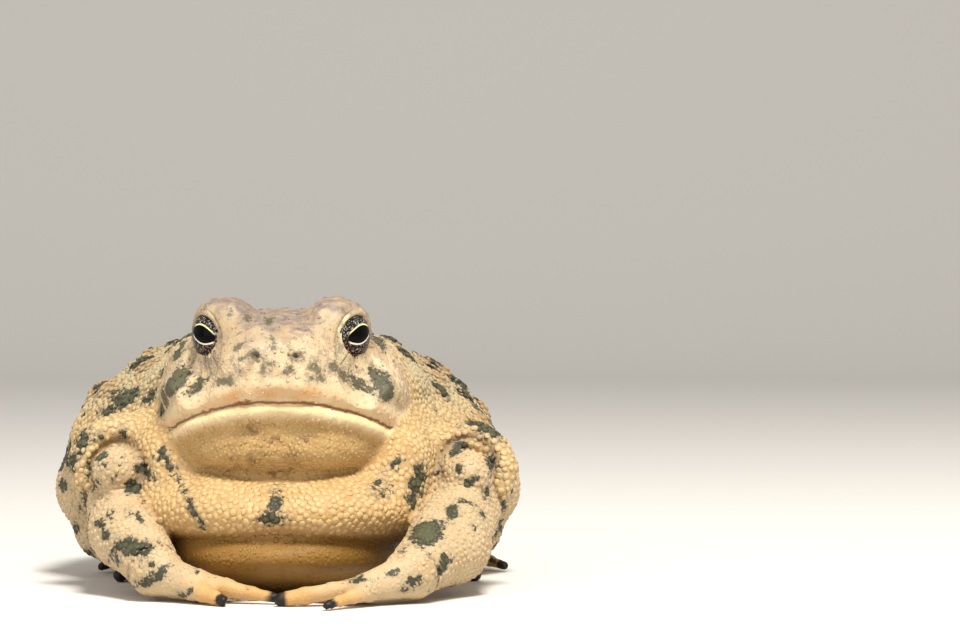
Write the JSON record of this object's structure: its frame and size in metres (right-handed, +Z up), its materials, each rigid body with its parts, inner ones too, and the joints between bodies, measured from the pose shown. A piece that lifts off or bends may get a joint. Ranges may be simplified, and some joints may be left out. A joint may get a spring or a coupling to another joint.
{
  "type": "american toad, still model",
  "caption": "Life-size still model of an American toad sitting puffed up, with its hands turned in under its chest.",
  "frame": {"origin": "middle of the model's box, on the floor that the toad sits on", "axes": "the toad faces -Y, +X is towards its left side, +Z is up"},
  "size_m": [0.0757, 0.1058, 0.0457],
  "materials": {
    "face_skin": "matte, slightly moist skin, buff with dark blotches",
    "throat_skin": "matte ochre skin",
    "back_skin": "matte warty skin, buff with olive-black blotches",
    "limb_skin": "matte granular skin, buff with dark bars",
    "digit_skin": "matte orange-buff skin with black tips",
    "eye": "wet gloss"
  },
  "bodies": {
    "root": {"head": "face_skin", "lower_jaw": "throat_skin", "torso": "back_skin", "eye_left": "eye", "upper_arm_left": "limb_skin", "forearm_left": "limb_skin", "thigh_left": "limb_skin", "shank_left": "limb_skin", "hand_left": "digit_skin", "foot_left": "digit_skin", "eye_right": "eye", "upper_arm_right": "limb_skin", "forearm_right": "limb_skin", "thigh_right": "limb_skin", "shank_right": "limb_skin", "hand_right": "digit_skin", "foot_right": "digit_skin"}
  },
  "joints": []
}
